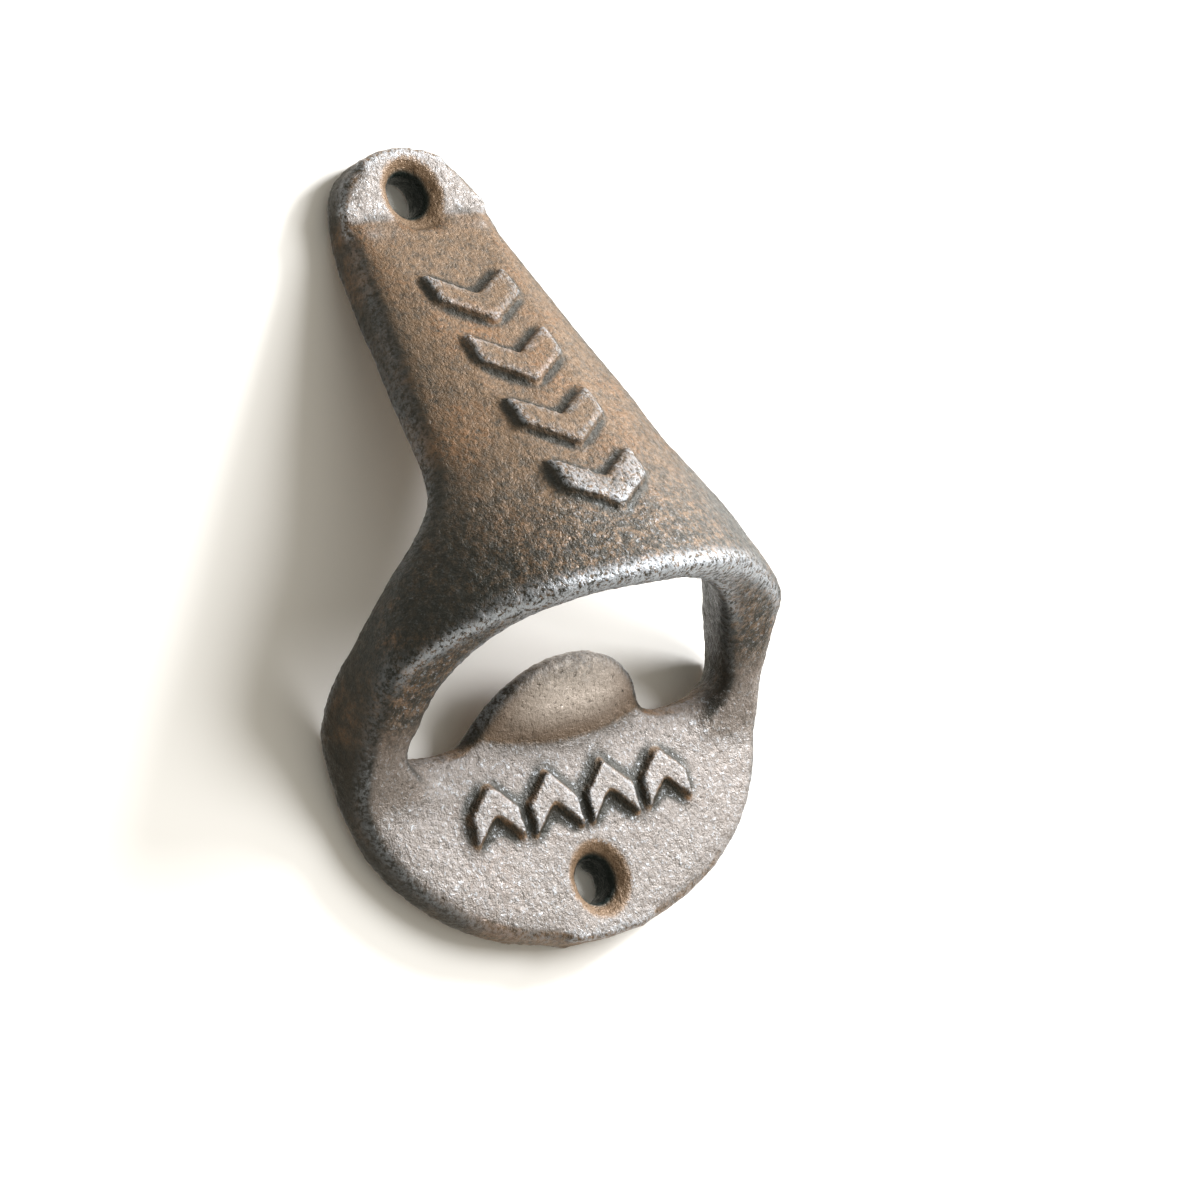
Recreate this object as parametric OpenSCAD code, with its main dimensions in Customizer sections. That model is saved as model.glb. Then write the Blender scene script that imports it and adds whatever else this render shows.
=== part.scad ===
// Wall-mounted bottle opener, cast in one piece.
// Millimetres, +Z up, the wall is the plane Y = 0 and the front faces -Y.
// The origin is on the wall plane, midway between the two screw holes.

/* [Overall] */
// Height from the plate's lower edge to the top of the tab
overall_h = 108; // [90:1:130]
// Width of the lower plate and of the hood above it
plate_w = 70; // [60:1:86]
// How far the hood's front ridge stands off the wall
hood_depth = 33.4; // [27:0.2:40]

/* [Lower plate] */
// Thickness of the lower plate and of the tab
plate_t = 5.5; // [4:0.25:7]
// Height of the plate's lower arc, from its lowest point to its full width
plate_arc_h = 26; // [20:0.5:32]
// Height of the plate's top edge, which is the bottom of the mouth
mouth_z = 28; // [25:0.5:34]

/* [Tab] */
// Width of the tab where the tongue begins
tab_w = 24.5; // [18:0.5:28]
// Length of the flat tab, from its top to the crease
tab_len = 9.5; // [8:0.5:13]
// Height of the tab's rounded end
tab_arc_h = 9; // [6:0.5:12]

/* [Tongue and hood] */
// Height of the mouth at its middle, from the plate's top edge to the hood's front ridge
mouth_gap = 13.4; // [11:0.2:17]
// Thickness of the tongue and the hood
shell_t = 5; // [3.5:0.25:6.5]
// Radius of the arch across the hood, at its ridge
arch_low_r = 46; // [40:1:60]
// Radius of the arch across the tongue, at the tab
arch_top_r = 37; // [30:1:60]
// How much of the arch is planed flat where the tongue leaves the tab
flat_top = 1.5; // [0.5:0.1:2.5]
// How much wider the tongue gets on each side for each millimetre down its length
taper = 0.217; // [0.1:0.001:0.3]
// Distance from the hood's ridge down to where it reaches its full width
shoulder_drop = 5.4; // [3:0.2:7]
// Height over which the sides flare out from the tongue to the hood
flare_h = 26.5; // [18:0.5:32]

/* [Cheeks and mouth] */
// Distance from the mouth's bottom down to where the cheeks' front edges meet the plate
cheek_foot_drop = 6; // [4:0.5:9]
// Distance from the mouth's bottom up to where the cheeks' back edges leave the wall
cheek_top_rise = 6; // [4:0.5:9]
// Distance from the hood's ridge up to where the cheeks' back edges meet the tongue
cheek_join_rise = 15.6; // [10:0.2:22]
// Fullness of the cheeks' front edges, where more makes them rise faster from the plate
front_curve = 2.35; // [1.6:0.1:3.2]
// Size of the round corners at the bottom of the mouth, across and up
mouth_corner = [13, 9]; // [5:0.5:14]
// Size of the round corners between the plate's face and the cheeks, across and up
face_corner = [14, 12]; // [5:0.5:16]
// Thickness of the cheeks at the front, where the hollow's arch springs from them
cheek_t = 6.5; // [4:0.25:9]
// Thickness of the cheeks at the wall, where the hollow leans outwards
cheek_edge_t = 1.75; // [1.2:0.05:4]
// Thickness of the hood's rim at its ridge, measured towards the wall
rim_t = 6.2; // [4:0.2:9]

/* [Tooth] */
// Width of the tooth that catches the cap
tooth_w = 32; // [24:0.5:38]
// Height of the tooth's tip above the bottom of the mouth
tooth_rise = 8.6; // [6:0.2:10]
// How far the tooth's tip stands off the wall
tooth_depth = 13; // [10:0.5:15]
// Thickness of the tooth at its middle
tooth_t = 6; // [4:0.25:8]
// Thickness of the tooth at its edge
tooth_edge_t = 2.4; // [1.5:0.1:3.5]
// Angle at which the tooth leans out from the wall
tooth_lean = 46; // [30:1:55]

/* [Screw holes] */
// Radius of the screw holes
hole_r = 3; // [2:0.05:3.25]
// Radius of the countersinks at the face
sink_r = 5; // [4:0.1:6]
// Depth of the countersinks
sink_h = 1.6; // [1:0.1:3]
// Distance from the plate's lower edge to the lower hole
low_hole_z = 7.6; // [7:0.1:12]
// Distance from the top of the tab to the upper hole
top_hole_down = 6.4; // [6.2:0.1:8]

/* [Raised marks] */
// Height of the marks above the face
mark_h = 1.1; // [0.5:0.1:1.5]
// Size of one tongue mark, across and down
tongue_mark = [14, 9.2]; // [6:0.2:15]
// Size of one plate mark, across and up
plate_mark = [8.2, 7.8]; // [5:0.2:9]
// How far the point of each mark reaches past its ends, tongue and plate
mark_drop = [4.4, 3.8]; // [2:0.2:6]
// Gap between neighbouring marks
mark_gap = 1.6; // [0.8:0.1:2]
// Distance from the crease down the tongue to the first mark
tongue_mark_start = 11; // [6:0.5:14]
// Height of the lower edge of the plate marks
plate_mark_z = 14.8; // [14:0.2:17]

/* [Hidden] */
$fn = 96;
iron = [0.33, 0.25, 0.22];
marks_in_row = 4;
steps = 12;
slack = 1; // overlap that makes unions and cuts clean
far = 200;

crease_z = overall_h - tab_len;
ridge_z = mouth_z + mouth_gap;
shoulder_z = ridge_z - shoulder_drop;
cheek_foot_z = mouth_z - cheek_foot_drop;
cheek_top_z = mouth_z + cheek_top_rise;
cheek_join_z = ridge_z + cheek_join_rise;
tooth_tip_z = mouth_z + tooth_rise;
hollow_w = plate_w - 2 * cheek_t;
hollow_back_w = plate_w - 2 * cheek_edge_t;
hollow_depth = hood_depth - rim_t;
slope_run = hood_depth - plate_t;
slope_rise = crease_z - ridge_z;
slope_a = atan(slope_run / slope_rise);
crown_a = atan((slope_run - flat_top) / slope_rise);
crown_len = slope_rise / cos(crown_a);
cone_a = asin((arch_low_r - arch_top_r) / crown_len);
high_hole_z = overall_h - top_hole_down;
origin_z = (low_hole_z + high_hole_z) / 2;
mouth_half = (hollow_back_w + 1) / 2; // the front view of the mouth just clears the hollow

// Half the outline's width at height z, from the shoulder up to the crease.
function ease(t) = let (c = max(0, min(1, t))) c * c * (3 - 2 * c);
function tongue_half(z) = tab_w / 2 + taper * (crease_z - z);
function half_width(z) =
    let (t = ease((shoulder_z + flare_h - z) / flare_h))
    tongue_half(z) * (1 - t) + plate_w / 2 * t;

// Points on the right-hand side from bottom to top, then the same mirrored for the left.
function arc_points(centre, size, a0, a1, n = steps) =
    [for (i = [0:n]) let (a = a0 + (a1 - a0) * i / n)
        centre + [size[0] * cos(a), size[1] * sin(a)]];
function side_points(z0, z1, n = 2 * steps) =
    [for (i = [0:n]) let (z = z0 + (z1 - z0) * i / n) [half_width(z), z]];
function both_sides(right) = concat(
    right,
    [for (i = [len(right) - 1:-1:0]) if (right[i][0] > 0.01) [-right[i][0], right[i][1]]]);

// Draws a front view, x across and y up, and pushes it out from the wall.
module from_wall(depth, start = 0) {
    translate([0, -start, 0]) rotate([90, 0, 0]) linear_extrude(depth) children();
}

// Draws a side view, x out from the wall and y up, and spreads it across the opener.
module across(width) {
    rotate([90, 0, -90]) linear_extrude(width, center = true) children();
}

// Puts children at the crease, turned so that -Y leaves the tongue's face and -Z runs down it.
module on_slope() {
    translate([0, -plate_t, crease_z]) rotate([-slope_a, 0, 0]) children();
}

// The outline of the whole opener seen from the front.
module outline_block(depth) {
    from_wall(depth) polygon(both_sides(concat(
        arc_points([0, plate_arc_h], [plate_w / 2, plate_arc_h], -90, 0),
        side_points(shoulder_z, crease_z),
        arc_points([0, overall_h - tab_arc_h], [tab_w / 2, tab_arc_h], 10, 90))));
}

// A cone lying along the tongue, whose skin gives the tongue and the hood their arch.
module arch_cone(inset = 0) {
    over = 15;
    grow = over * tan(cone_a);
    translate([0, -hood_depth, ridge_z]) rotate([cone_a - crown_a, 0, 0])
        translate([0, arch_low_r, -over])
        cylinder(r1 = arch_low_r + grow - inset, r2 = arch_top_r - grow - inset,
            h = crown_len * cos(cone_a) + 2 * over);
}

// Everything on the wall side of the tongue's flat face, moved inwards by a wall.
module behind_slope(inset = 0) {
    on_slope() translate([-far / 2, inset, -far / 2]) cube([far, far, far]);
}

module below_face(inset = 0) {
    intersection() {
        arch_cone(inset);
        behind_slope(inset);
    }
}

module slice(z0, z1, depth) {
    intersection() {
        outline_block(depth);
        translate([-far / 2, -far / 2, z0]) cube([far, far, z1 - z0]);
    }
}

// Side view of the hood: a curved front edge from the plate to the ridge, a back edge that
// leaves the wall above the plate, and the tongue above them.
module hood_side() {
    front = [for (i = [0:steps]) let (t = i / steps)
        [plate_t + slope_run * t, ridge_z - (ridge_z - cheek_foot_z) * pow(1 - t, front_curve)]];
    sag = pow(half_width(cheek_join_z), 2) / (4 * arch_low_r);
    join_d = plate_t + (crease_z - cheek_join_z) * tan(slope_a) - shell_t / cos(slope_a) - sag;
    back = [for (i = [steps:-1:0]) let (t = i / steps)
        [join_d * sin(90 * t),
            cheek_top_z + (cheek_join_z - cheek_top_z) * (1.3 * t - 0.3 * t * t)]];
    polygon(concat(
        [[0, cheek_foot_z]], front, [[far, ridge_z], [far, far], [0, far], [0, crease_z - tab_len / 2]], back));
}

// The arched hollow under the hood, wider at the wall than at the front.
module hollow() {
    lean_from = 25;
    intersection() {
        union() {
            from_wall(far, -slack) mouth_view(mouth_z, mouth_corner, mouth_half);
            from_wall(far, plate_t)
                mouth_view(cheek_foot_z - slack, face_corner, plate_w / 2 - cheek_t);
        }
        rotate([0, 0, 180]) linear_extrude(far) polygon(both_sides(concat(
            [[hollow_back_w / 2, -slack]],
            arc_points([0, 0], [hollow_w / 2, hollow_depth], lean_from, 90))));
        below_face(shell_t);
    }
}

// Front view of the mouth: flat bottom, round corners and straight sides up to the tab.
module mouth_view(bottom, corner, half) {
    top = crease_z - 2 * slack;
    polygon(both_sides(concat(
        [[0, bottom]],
        arc_points([half - corner[0], bottom + corner[1]], corner, -90, 0),
        [[half, top], [0, top]])));
}

module hood() {
    difference() {
        intersection() {
            outline_block(hood_depth + slack);
            below_face();
            across(far) hood_side();
        }
        hollow();
    }
}

// A convex disc leaning out of the plate, so that its upper half makes the tooth.
module tooth() {
    disc_r = tooth_w / 2;
    bulge = (tooth_t - tooth_edge_t) / 2;
    dome_r = (disc_r * disc_r + bulge * bulge) / (2 * bulge);
    profile = concat(
        [[0, -tooth_edge_t / 2 - bulge]],
        [for (i = [1:steps]) let (r = disc_r * i / steps)
            [r, -tooth_edge_t / 2 - bulge + dome_r - sqrt(dome_r * dome_r - r * r)]],
        [for (i = [steps:-1:0]) let (r = disc_r * i / steps)
            [r, tooth_edge_t / 2 + bulge - dome_r + sqrt(dome_r * dome_r - r * r)]]);
    intersection() {
        translate([0, -tooth_depth + tooth_edge_t / 2 * cos(tooth_lean), tooth_tip_z])
            rotate([tooth_lean - 90, 0, 0]) translate([0, disc_r, 0])
            rotate_extrude() polygon(profile);
        translate([-far / 2, -far, mouth_z / 2]) cube([far, far, far]);
    }
}

// One mark: a broad chevron whose point is at the bottom, centred on its own box.
module chevron(size, drop) {
    x = size[0] / 2;
    y = size[1] / 2;
    polygon([[-x, y], [-x, drop - y], [0, -y], [x, drop - y], [x, y], [0, y - drop]]);
}

// Four marks down the tongue, pointing at the mouth, raised above the arched face.
module tongue_marks() {
    pitch = tongue_mark[1] + mark_gap;
    intersection() {
        on_slope() translate([0, slack, 0]) from_wall(slack + mark_h)
            for (i = [0:marks_in_row - 1])
                translate([0, -tongue_mark_start - tongue_mark[1] / 2 - pitch * i])
                    chevron(tongue_mark, mark_drop[0]);
        arch_cone(-mark_h);
    }
}

// Four marks across the plate, pointing up at the mouth.
module plate_marks() {
    pitch = plate_mark[0] + mark_gap;
    from_wall(slack + mark_h, plate_t - slack)
        for (i = [0:marks_in_row - 1])
            translate([pitch * (i - (marks_in_row - 1) / 2), plate_mark_z + plate_mark[1] / 2])
                mirror([0, 1]) chevron(plate_mark, mark_drop[1]);
}

// A screw hole through the casting with its countersink, at height z.
module screw_hole(z) {
    translate([0, slack, z]) rotate([90, 0, 0]) cylinder(r = hole_r, h = plate_t + 2 * slack);
    translate([0, -plate_t - slack, z]) rotate([-90, 0, 0])
        cylinder(r1 = sink_r + slack * (sink_r - hole_r) / sink_h, r2 = hole_r, h = sink_h + slack);
}

module opener_casting() {
    color(iron) difference() {
        union() {
            slice(0, mouth_z, plate_t);
            slice(crease_z, overall_h, plate_t);
            hood();
            tooth();
            tongue_marks();
            plate_marks();
        }
        screw_hole(low_hole_z);
        screw_hole(high_hole_z);
        translate([-far / 2, 0, 0]) cube([far, far, far]);
    }
}

translate([0, 0, -origin_z]) {
    opener_casting();
}
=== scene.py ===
import math

import bmesh
import bpy
import numpy as np
from mathutils import Matrix, Vector, noise


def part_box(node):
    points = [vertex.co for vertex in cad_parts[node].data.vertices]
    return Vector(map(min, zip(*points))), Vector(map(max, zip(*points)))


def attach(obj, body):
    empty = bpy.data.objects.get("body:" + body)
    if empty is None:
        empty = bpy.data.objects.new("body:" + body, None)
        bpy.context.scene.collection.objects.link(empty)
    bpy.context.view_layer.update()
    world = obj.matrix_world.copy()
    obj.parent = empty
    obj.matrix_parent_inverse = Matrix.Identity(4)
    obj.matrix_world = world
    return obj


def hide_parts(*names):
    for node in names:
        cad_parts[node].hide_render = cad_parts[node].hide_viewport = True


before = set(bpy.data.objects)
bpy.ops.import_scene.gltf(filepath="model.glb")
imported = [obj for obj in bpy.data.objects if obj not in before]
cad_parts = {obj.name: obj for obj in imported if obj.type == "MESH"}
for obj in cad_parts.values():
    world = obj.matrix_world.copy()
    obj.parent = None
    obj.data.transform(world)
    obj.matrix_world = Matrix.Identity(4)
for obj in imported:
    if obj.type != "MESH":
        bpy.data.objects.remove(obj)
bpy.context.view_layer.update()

mm = 0.001
low, high = (Vector(corner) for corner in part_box("opener_casting"))
centre = (low + high) / 2


def fromBottom(z):
    # heights below are counted up from the plate's lower edge
    return low.z + z * mm


# ---- the casting's skin ----

skin = {
    "cellMm": 0.44,  # size of the mesh's cells
    "edgePasses": 60,  # rounding of the outer edges
    "ridgePasses": 60,  # more rounding along the hood's ridge
    "detailPasses": 5,  # rounding of the marks and the screw seats
    "wavesMm": 0.20,  # unevenness from the mould, and how far apart
    "waveEveryMm": 9.0,
    "grainMm": 0.11,  # sand grain, and how far apart
    "grainEveryMm": 1.3,
    "nubMm": 2.0,  # leftover flash round the plate's edge
    "nubEveryMm": 4.0,
}


def markedArea(p):
    # where the raised marks and the screw seats are, so that they are rounded less
    x, z = abs(p.x) / mm, (p.z - low.z) / mm
    onPlate = x < 19.5 and 13.4 < z < 24.0 and p.y < -4 * mm
    onTongue = x < 8.6 and 46.5 < z < 91.5 and p.y < -(98.5 - z) * 0.42 * mm
    onSeat = x < 7 and (z < 14 or z > 95.5)
    onCrease = 96.3 < z < 100.5 and p.y < -4 * mm
    return onPlate or onTongue or onSeat or onCrease


def ridgeArea(p):
    # the hood's front edge and the cheeks below it, without the tooth
    x, out, z = abs(p.x) / mm, -p.y / mm, (p.z - low.z) / mm
    return 26 < z < 49 and (out > 16 or (x > 19 and out > 7))


def copyOfNode(node, name):
    # the CAD mesh is loose triangles, so they are joined first
    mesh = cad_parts[node].data.copy()
    mesh.name = name
    mesh.materials.clear()
    bm = bmesh.new()
    bm.from_mesh(mesh)
    bmesh.ops.remove_doubles(bm, verts=bm.verts, dist=0.002 * mm)
    bm.to_mesh(mesh)
    bm.free()
    piece = bpy.data.objects.new(name, mesh)
    bpy.context.scene.collection.objects.link(piece)
    return piece


def evenCells(piece, size):
    remesh = piece.modifiers.new("cells", "REMESH")
    remesh.mode = "VOXEL"
    remesh.voxel_size = size
    remesh.adaptivity = 0
    seen = piece.evaluated_get(bpy.context.evaluated_depsgraph_get())
    mesh = bpy.data.meshes.new_from_object(seen)
    piece.modifiers.clear()
    piece.data = mesh


def smooth(bm, verts, passes):
    for _ in range(passes):
        bmesh.ops.smooth_vert(
            bm, verts=verts, factor=0.5, use_axis_x=True, use_axis_y=True, use_axis_z=True
        )


def roundEdges(piece):
    bm = bmesh.new()
    bm.from_mesh(piece.data)
    plain = [v for v in bm.verts if not markedArea(v.co)]
    ridge = [v for v in bm.verts if ridgeArea(v.co)]
    smooth(bm, ridge, skin["ridgePasses"])
    smooth(bm, plain, skin["edgePasses"])
    smooth(bm, bm.verts, skin["detailPasses"])
    bm.to_mesh(piece.data)
    bm.free()


def castSkin(piece):
    # pushes each point in or out by a few hundredths, as a sand mould leaves it
    mesh = piece.data
    normals = [v.normal.copy() for v in mesh.vertices]  # read before any point moves
    for v, n in zip(mesh.vertices, normals):
        p = v.co.copy()
        wave = noise.noise(p / (skin["waveEveryMm"] * mm)) * skin["wavesMm"]
        grain = noise.fractal(p / (skin["grainEveryMm"] * mm), 0.6, 2.0, 3) * skin["grainMm"]
        flat = 0.45 if abs(p.y) < 0.4 * mm else 1.0  # the back lies against the wall
        tongue = min(1.0, max(0.0, (p.z - fromBottom(48)) / (25 * mm)))
        grain *= (1 - 0.55 * tongue) if p.y < -6 * mm else 1.0  # the tongue came out smoother
        edge = max(0.0, 1 - abs(p.y + 0.8 * mm) / (1.6 * mm)) * max(0.0, 1 - abs(n.y) * 1.4)
        nub = max(0.0, noise.noise(p / (skin["nubEveryMm"] * mm)) - 0.25) * skin["nubMm"] * edge
        v.co = p + n * ((wave + grain) * flat + nub) * mm
    mesh.update()


def paintShape(piece):
    # stores how far each point stands proud of, or sits below, the skin around it
    mesh = piece.data
    count = len(mesh.vertices)
    points = np.empty(count * 3)
    mesh.vertices.foreach_get("co", points)
    points = points.reshape(-1, 3)
    normals = np.empty(count * 3)
    mesh.vertices.foreach_get("normal", normals)
    normals = normals.reshape(-1, 3)
    ends = np.empty(len(mesh.edges) * 2, dtype=np.int32)
    mesh.edges.foreach_get("vertices", ends)
    a, b = ends.reshape(-1, 2).T
    degree = np.bincount(a, minlength=count) + np.bincount(b, minlength=count)

    def averaged(values, passes):
        for _ in range(passes):
            total = np.zeros_like(values)
            for axis in range(values.shape[1]):
                total[:, axis] = np.bincount(a, values[b, axis], count)
                total[:, axis] += np.bincount(b, values[a, axis], count)
            values = 0.5 * values + 0.5 * total / degree[:, None]
        return values

    def above(passes):
        soft = averaged(points, passes)
        return averaged(((points - soft) * normals).sum(axis=1)[:, None] / mm, 2)[:, 0]

    layers = {
        "proud": above(22),
        "edge": above(160),
        "frontness": -normals[:, 1],
        "leftness": -normals[:, 0],
    }
    for name, values in layers.items():
        layer = mesh.attributes.new(name, "FLOAT", "POINT")
        layer.data.foreach_set("value", values.astype(np.float32))


# ---- the finish ----

finish = {
    "iron": (0.078, 0.060, 0.042),
    # painted sheen: a paler tone for faces turned to the front
    "paintedSheenTone": (0.235, 0.217, 0.208),
    "brown": (0.195, 0.125, 0.072),
    "rust": (0.25, 0.120, 0.045),
    "toothBrown": (0.17, 0.118, 0.080),
    # painted highlight on the tooth's upper middle
    "toothPaintedHighlight": (0.66, 0.58, 0.52),
    # the dark tone: for the sooty hood and the pits, and for painted shade on the sides and in the recesses
    "dark": (0.013, 0.015, 0.011),
    # painted shade inside the screw holes
    "holeShade": (0.010, 0.018, 0.015),
    # the bright tone for worn tops, painted highlights and painted glints
    "bright": (0.42, 0.45, 0.49),
    "roughness": 0.46,
    "tongueRoughness": 0.14,  # added on the tongue, where the casting is duller
    "grainPerMm": 1.5,
    "grainHeightMm": 0.22,
    "metallic": 0.35,
    "holesUpMm": (7.6, 101.6),  # the screw holes, up from the plate's lower edge
    "ringMm": 5.6,  # how far the brown ring reaches round each screw hole
    "holeShadeMm": 3.9,  # how far the painted shade inside the hole reaches
}


class Nodes:
    # short words for building a node tree
    def __init__(self, owner):
        owner.use_nodes = True
        self.tree = owner.node_tree
        self.tree.nodes.clear()

    def add(self, kind, **settings):
        node = self.tree.nodes.new(kind)
        for key, value in settings.items():
            setattr(node, key, value)
        return node

    def wire(self, source, target):
        self.tree.links.new(source, target)

    def noise(self, where, perMm, detail=4.0, roughness=0.6):
        node = self.add("ShaderNodeTexNoise")
        node.inputs["Scale"].default_value = perMm / mm
        node.inputs["Detail"].default_value = detail
        node.inputs["Roughness"].default_value = roughness
        self.wire(where, node.inputs["Vector"])
        return node.outputs["Fac"]

    def ramp(self, value, start, end, low=0.0, high=1.0):
        node = self.add("ShaderNodeMapRange", interpolation_type="SMOOTHSTEP")
        self.wire(value, node.inputs["Value"])
        for key, number in (("From Min", start), ("From Max", end), ("To Min", low), ("To Max", high)):
            node.inputs[key].default_value = number
        return node.outputs["Result"]

    def maths(self, operation, a, b):
        node = self.add("ShaderNodeMath", operation=operation)
        for socket, value in zip(node.inputs, (a, b)):
            if isinstance(value, (int, float)):
                socket.default_value = value
            else:
                self.wire(value, socket)
        return node.outputs[0]

    def product(self, first, *others):
        for other in others:
            first = self.maths("MULTIPLY", first, other)
        return first

    def blend(self, amount, under, over):
        node = self.add("ShaderNodeMix", data_type="RGBA")
        self.wire(amount, node.inputs["Factor"])
        for socket, value in ((node.inputs["A"], under), (node.inputs["B"], over)):
            self.colour(socket, value)
        return node.outputs["Result"]

    def colour(self, socket, value):
        if isinstance(value, tuple):
            socket.default_value = (*value, 1.0)
        else:
            self.wire(value, socket)

    def attribute(self, name):
        return self.add("ShaderNodeAttribute", attribute_name=name).outputs["Fac"]


def ringRound(n, split, height, z, reach):
    # 1 inside a circle round the screw hole at that height, 0 outside it
    across = n.maths("MULTIPLY", split.outputs["X"], 1 / mm)
    up = n.maths("SUBTRACT", height, z)
    away = n.maths("SQRT", n.maths("ADD", n.maths("POWER", across, 2), n.maths("POWER", up, 2)), 0)
    return n.ramp(away, reach, reach - 0.7)


def castIron():
    material = bpy.data.materials.new("cast_iron")
    n = Nodes(material)
    where = n.add("ShaderNodeTexCoord").outputs["Object"]
    split = n.add("ShaderNodeSeparateXYZ")
    n.wire(where, split.inputs[0])
    proud = n.attribute("proud")
    edge = n.attribute("edge")
    front = n.attribute("frontness")
    left = n.attribute("leftness")
    sideways = n.maths("ABSOLUTE", left, 0)
    patches = n.noise(where, 0.08, 6, 0.7)
    mottle = n.noise(where, 0.9, 6, 0.8)
    specks = n.noise(where, 1.7, 3, 0.75)
    grain = n.noise(where, finish["grainPerMm"], 3, 0.7)

    standoff = n.maths("MULTIPLY", split.outputs["Y"], -1 / mm)
    height = n.maths("MULTIPLY", n.maths("SUBTRACT", split.outputs["Z"], low.z), 1 / mm)
    base = n.blend(n.ramp(mottle, 0.34, 0.60), finish["iron"], finish["brown"])
    rusty = n.maths("MULTIPLY", n.ramp(patches, 0.48, 0.66), n.ramp(specks, 0.42, 0.58))
    base = n.blend(n.maths("MULTIPLY", rusty, 0.6), base, finish["rust"])
    # painted sheen: the plate, the tab and the cheeks, where they face the front, are painted paler, as the
    # lamp's sheen makes them look
    flatFace = n.maths("MULTIPLY", n.ramp(standoff, 7.4, 6.7), n.ramp(front, 0.88, 0.97))
    cheekFront = n.maths("MULTIPLY", n.ramp(height, 37, 27), n.ramp(standoff, 19, 9))
    cheekFront = n.maths("MULTIPLY", cheekFront, n.ramp(front, 0.25, 0.60, 0.0, 0.75))
    across = n.maths("ABSOLUTE", split.outputs["X"], 0)
    cheekFront = n.maths("MULTIPLY", cheekFront, n.ramp(across, 18 * mm, 23 * mm))
    paintedSheen = n.maths("MAXIMUM", flatFace, cheekFront)
    paintedSheen = n.product(paintedSheen, n.ramp(mottle, 0.30, 0.62, 0.5, 1.0))
    base = n.blend(paintedSheen, base, finish["paintedSheenTone"])

    # the tooth has its own brown, with a painted highlight on its upper middle
    onTooth = n.product(
        n.ramp(standoff, 5.9, 6.3),
        n.ramp(across, 17.2 * mm, 16.4 * mm),
        n.product(n.ramp(height, 38.5, 37.5), n.ramp(height, 24, 25)),
    )
    toothBrown = n.product(onTooth, n.ramp(mottle, 0.25, 0.55, 0.4, 1.0))
    base = n.blend(toothBrown, base, finish["toothBrown"])
    # painted highlight: paler towards the tooth's upper middle, speckled
    toothHighlight = n.product(
        n.ramp(across, 14 * mm, 2 * mm),
        n.ramp(height, 26.5, 31.5),
        n.ramp(specks, 0.25, 0.50, 0.5, 1.0),
    )
    base = n.blend(n.maths("MULTIPLY", onTooth, toothHighlight), base, finish["toothPaintedHighlight"])

    # the hood is darker and more pitted towards its ridge
    hood = n.maths("MULTIPLY", n.ramp(height, 66, 46), n.ramp(standoff, 9, 14))
    sooty = n.maths("MULTIPLY", hood, n.ramp(mottle, 0.66, 0.44, 0.0, 0.85))
    base = n.blend(sooty, base, finish["dark"])
    # painted shade: faces turned to the left or the right are painted dark
    paintedSideShade = n.ramp(sideways, 0.20, 0.62, 0.0, 0.88)
    paintedSideShade = n.product(paintedSideShade, n.ramp(patches, 0.70, 0.48, 0.45, 1.0))
    base = n.blend(paintedSideShade, base, finish["dark"])
    # painted shade: points that sit below the skin around them, in the recesses and round the marks, are
    # painted dark
    base = n.blend(n.ramp(proud, -0.02, -0.14, 0.0, 0.9), base, finish["dark"])
    # a brown ring round each screw hole, and painted shade inside it
    for z in finish["holesUpMm"]:
        ring = ringRound(n, split, height, z, finish["ringMm"])
        base = n.blend(n.maths("MULTIPLY", ring, n.ramp(mottle, 0.3, 0.6, 0.75, 1.0)), base, finish["brown"])
        base = n.blend(ringRound(n, split, height, z, finish["holeShadeMm"]), base, finish["holeShade"])

    # painted highlights: a bright band along the ridge, and glints on the front faces and the hood; on the
    # raised tops the brightness is partly worn metal, partly painted highlight
    onRidge = n.product(n.ramp(height, 33, 41), n.product(hood, n.ramp(sideways, 0.62, 0.22)))
    ridge = n.product(n.ramp(edge, 0.16, 0.50), onRidge)
    wearAndHighlight = n.maths("MULTIPLY", n.ramp(proud, 0.05, 0.25, 0.0, 0.55), n.ramp(specks, 0.42, 0.56))
    paintedGlints = n.product(hood, n.ramp(front, 0.0, 0.3), n.ramp(sideways, 0.35, 0.05, 0.1, 0.6))
    paintedGlints = n.product(n.maths("MAXIMUM", paintedSheen, paintedGlints), n.ramp(specks, 0.56, 0.66))
    wearAndPaintedShine = n.maths("MAXIMUM", wearAndHighlight, n.maths("MULTIPLY", ridge, n.ramp(specks, 0.40, 0.54)))
    wearAndPaintedShine = n.maths("MAXIMUM", wearAndPaintedShine, n.maths("MULTIPLY", paintedGlints, 0.8))
    base = n.blend(wearAndPaintedShine, base, finish["bright"])
    pits = n.ramp(specks, 0.40, 0.30, 0.0, 0.8)
    base = n.blend(pits, base, finish["dark"])

    shader = n.add("ShaderNodeBsdfPrincipled")
    n.wire(base, shader.inputs["Base Color"])
    shader.inputs["Metallic"].default_value = finish["metallic"]
    rough = n.ramp(grain, 0.3, 0.7, finish["roughness"] - 0.12, finish["roughness"] + 0.16)
    tongue = n.maths("MULTIPLY", n.ramp(height, 52, 62), n.ramp(height, 99.5, 98))
    rough = n.maths("ADD", rough, n.product(tongue, finish["tongueRoughness"]))
    n.wire(rough, shader.inputs["Roughness"])
    bump = n.add("ShaderNodeBump")
    bump.inputs["Strength"].default_value = 1.0
    bump.inputs["Distance"].default_value = finish["grainHeightMm"] * mm
    n.wire(n.maths("ADD", grain, specks), bump.inputs["Height"])
    n.wire(bump.outputs["Normal"], shader.inputs["Normal"])
    out = n.add("ShaderNodeOutputMaterial")
    n.wire(shader.outputs["BSDF"], out.inputs["Surface"])
    return material


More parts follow.
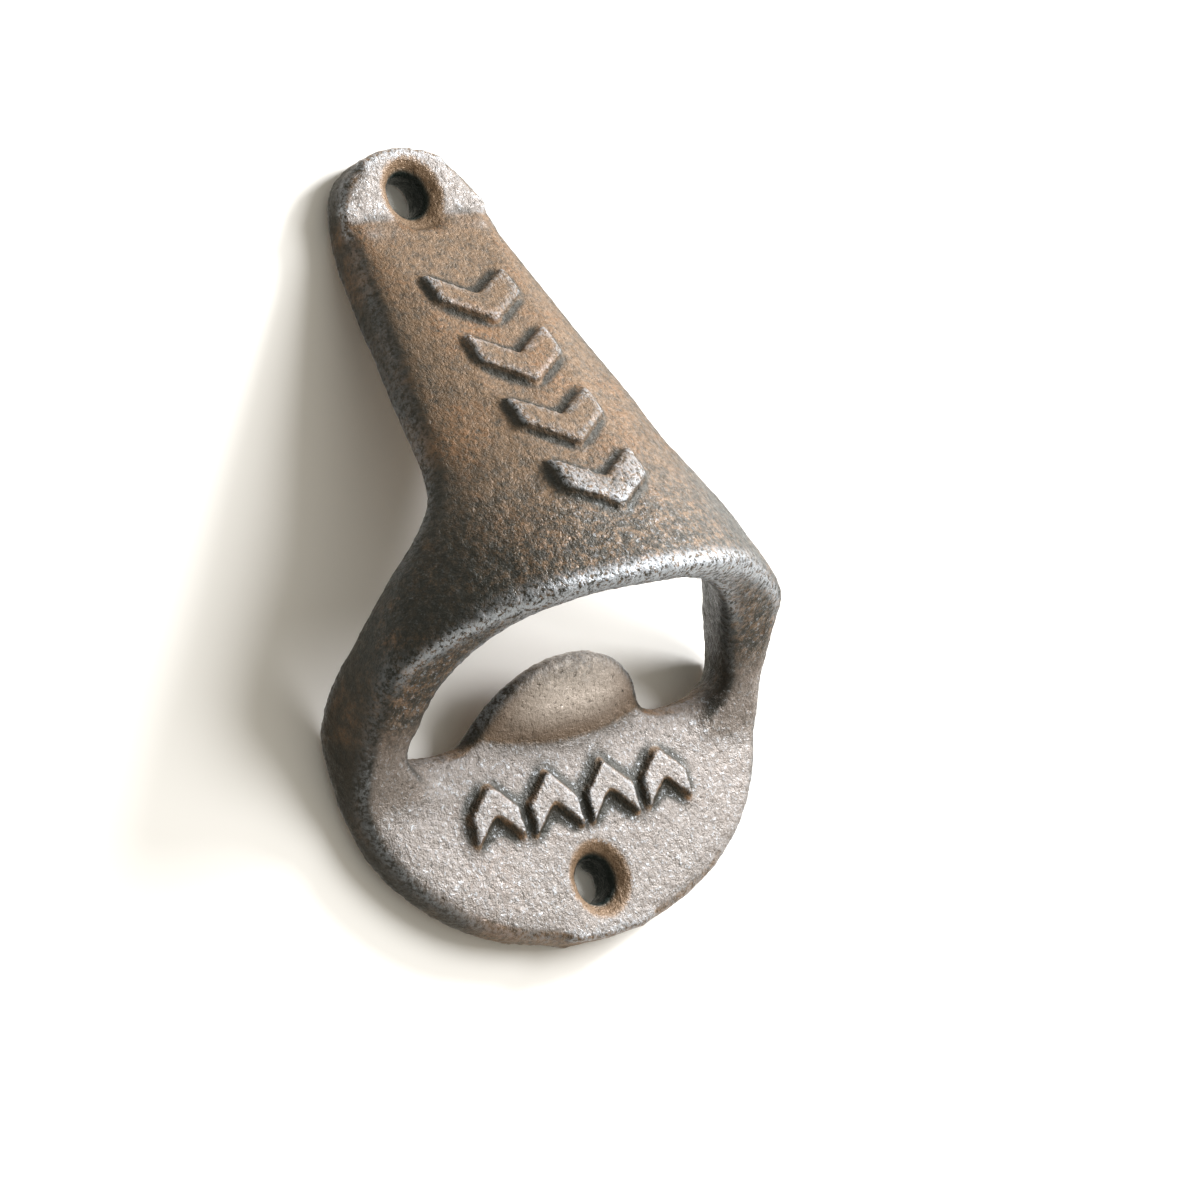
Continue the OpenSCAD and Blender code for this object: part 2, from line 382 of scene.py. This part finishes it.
casting = copyOfNode("opener_casting", "casting")
evenCells(casting, skin["cellMm"] * mm)
roundEdges(casting)
paintShape(casting)
castSkin(casting)
casting.data.polygons.foreach_set("use_smooth", [True] * len(casting.data.polygons))
casting.data.materials.append(castIron())
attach(casting, "root")
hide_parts("opener_casting")
print("casting:", len(casting.data.vertices), "points,", 2 * len(casting.data.polygons), "triangles at most")


# ---- the pale surface, the light and the camera ----

studio = {
    "surfaceM": 1.0,
    "surfaceColour": (0.93, 0.92, 0.90),
    "worldStrength": 0.56,
    "worldColour": (1.0, 0.94, 0.81),
    "key": {"watts": 5.6, "sizeM": 0.16, "awayM": 0.60, "azimuth": 62.0, "elevation": 20.0},
    "sheen": {"watts": 2.8, "sizeM": 0.34, "awayM": 0.55, "azimuth": 40.0, "elevation": 4.0},
}

cameraSetup = {
    "azimuth": -41.5,  # degrees round from straight in front, to the left
    "elevation": -5.8,
    "roll": -15.5,
    "awayM": 0.450,
    "aimMm": (7.2, -11.7, 42.6),  # across, out from the wall and up from the plate's lower edge
    "lens": 103.2,
}


def directionOf(azimuth, elevation):
    a, e = math.radians(azimuth), math.radians(elevation)
    return Vector((math.sin(a) * math.cos(e), -math.cos(a) * math.cos(e), math.sin(e)))


def paleSurface():
    # the surface the opener lies against; from behind it can be seen through
    bm = bmesh.new()
    bmesh.ops.create_grid(bm, x_segments=1, y_segments=1, size=studio["surfaceM"] / 2)
    bmesh.ops.rotate(bm, verts=bm.verts, cent=(0, 0, 0), matrix=Matrix.Rotation(math.radians(90), 3, "X"))
    bmesh.ops.translate(bm, verts=bm.verts, vec=(0, 0.2 * mm, centre.z))
    mesh = bpy.data.meshes.new("surface")
    bm.to_mesh(mesh)
    bm.free()
    surface = bpy.data.objects.new("surface", mesh)
    bpy.context.scene.collection.objects.link(surface)
    material = bpy.data.materials.new("pale_surface")
    n = Nodes(material)
    paper = n.add("ShaderNodeBsdfDiffuse")
    paper.inputs["Color"].default_value = (*studio["surfaceColour"], 1)
    clear = n.add("ShaderNodeBsdfTransparent")
    behind = n.add("ShaderNodeNewGeometry").outputs["Backfacing"]
    ray = n.add("ShaderNodeLightPath")
    short = n.maths("LESS_THAN", ray.outputs["Ray Length"], 5 * mm)  # lets light reach the opener's back
    short = n.maths("MULTIPLY", short, n.maths("SUBTRACT", 1, ray.outputs["Is Camera Ray"]))
    mix = n.add("ShaderNodeMixShader")
    n.wire(n.maths("MAXIMUM", behind, short), mix.inputs[0])
    n.wire(paper.outputs[0], mix.inputs[1])
    n.wire(clear.outputs[0], mix.inputs[2])
    out = n.add("ShaderNodeOutputMaterial")
    n.wire(mix.outputs[0], out.inputs["Surface"])
    mesh.materials.append(material)


def softLight(name):
    # azimuth is counted round from straight in front, to the right
    wanted = studio[name]
    light = bpy.data.lights.new(name, "AREA")
    light.shape = "DISK"
    light.size = wanted["sizeM"]
    light.energy = wanted["watts"]
    lamp = bpy.data.objects.new(name, light)
    away = directionOf(wanted["azimuth"], wanted["elevation"])
    lamp.location = centre + away * wanted["awayM"]
    lamp.rotation_euler = away.to_track_quat("Z", "Y").to_euler()
    bpy.context.scene.collection.objects.link(lamp)


def paleWorld():
    # soft light from all round, weaker from the left, with a white background
    world = bpy.data.worlds.new("world")
    n = Nodes(world)
    split = n.add("ShaderNodeSeparateXYZ")
    n.wire(n.add("ShaderNodeTexCoord").outputs["Generated"], split.inputs[0])
    soft = n.add("ShaderNodeBackground")
    soft.inputs["Color"].default_value = (*studio["worldColour"], 1)
    strength = studio["worldStrength"]
    n.wire(n.ramp(split.outputs["X"], -0.9, 0.5, 0.55 * strength, 1.2 * strength), soft.inputs["Strength"])
    white = n.add("ShaderNodeBackground")
    white.inputs["Color"].default_value = (1, 1, 1, 1)
    mix = n.add("ShaderNodeMixShader")
    n.wire(n.add("ShaderNodeLightPath").outputs["Is Camera Ray"], mix.inputs[0])
    n.wire(soft.outputs[0], mix.inputs[1])
    n.wire(white.outputs[0], mix.inputs[2])
    out = n.add("ShaderNodeOutputWorld")
    n.wire(mix.outputs[0], out.inputs["Surface"])
    bpy.context.scene.world = world


def setCamera():
    data = bpy.data.cameras.new("camera")
    data.lens = cameraSetup["lens"]
    data.sensor_width = 36
    camera = bpy.data.objects.new("camera", data)
    x, y, z = cameraSetup["aimMm"]
    aim = Vector((x * mm, y * mm, fromBottom(z)))
    away = directionOf(cameraSetup["azimuth"], cameraSetup["elevation"])
    camera.location = aim + away * cameraSetup["awayM"]
    roll = Matrix.Rotation(math.radians(cameraSetup["roll"]), 3, "Z")
    turn = away.to_track_quat("Z", "Y").to_matrix() @ roll
    camera.rotation_euler = turn.to_euler()
    bpy.context.scene.collection.objects.link(camera)
    bpy.context.scene.camera = camera


paleSurface()
softLight("key")
softLight("sheen")
paleWorld()
setCamera()
bpy.context.scene.view_settings.view_transform = "Standard"
print("stage, light and camera: done")
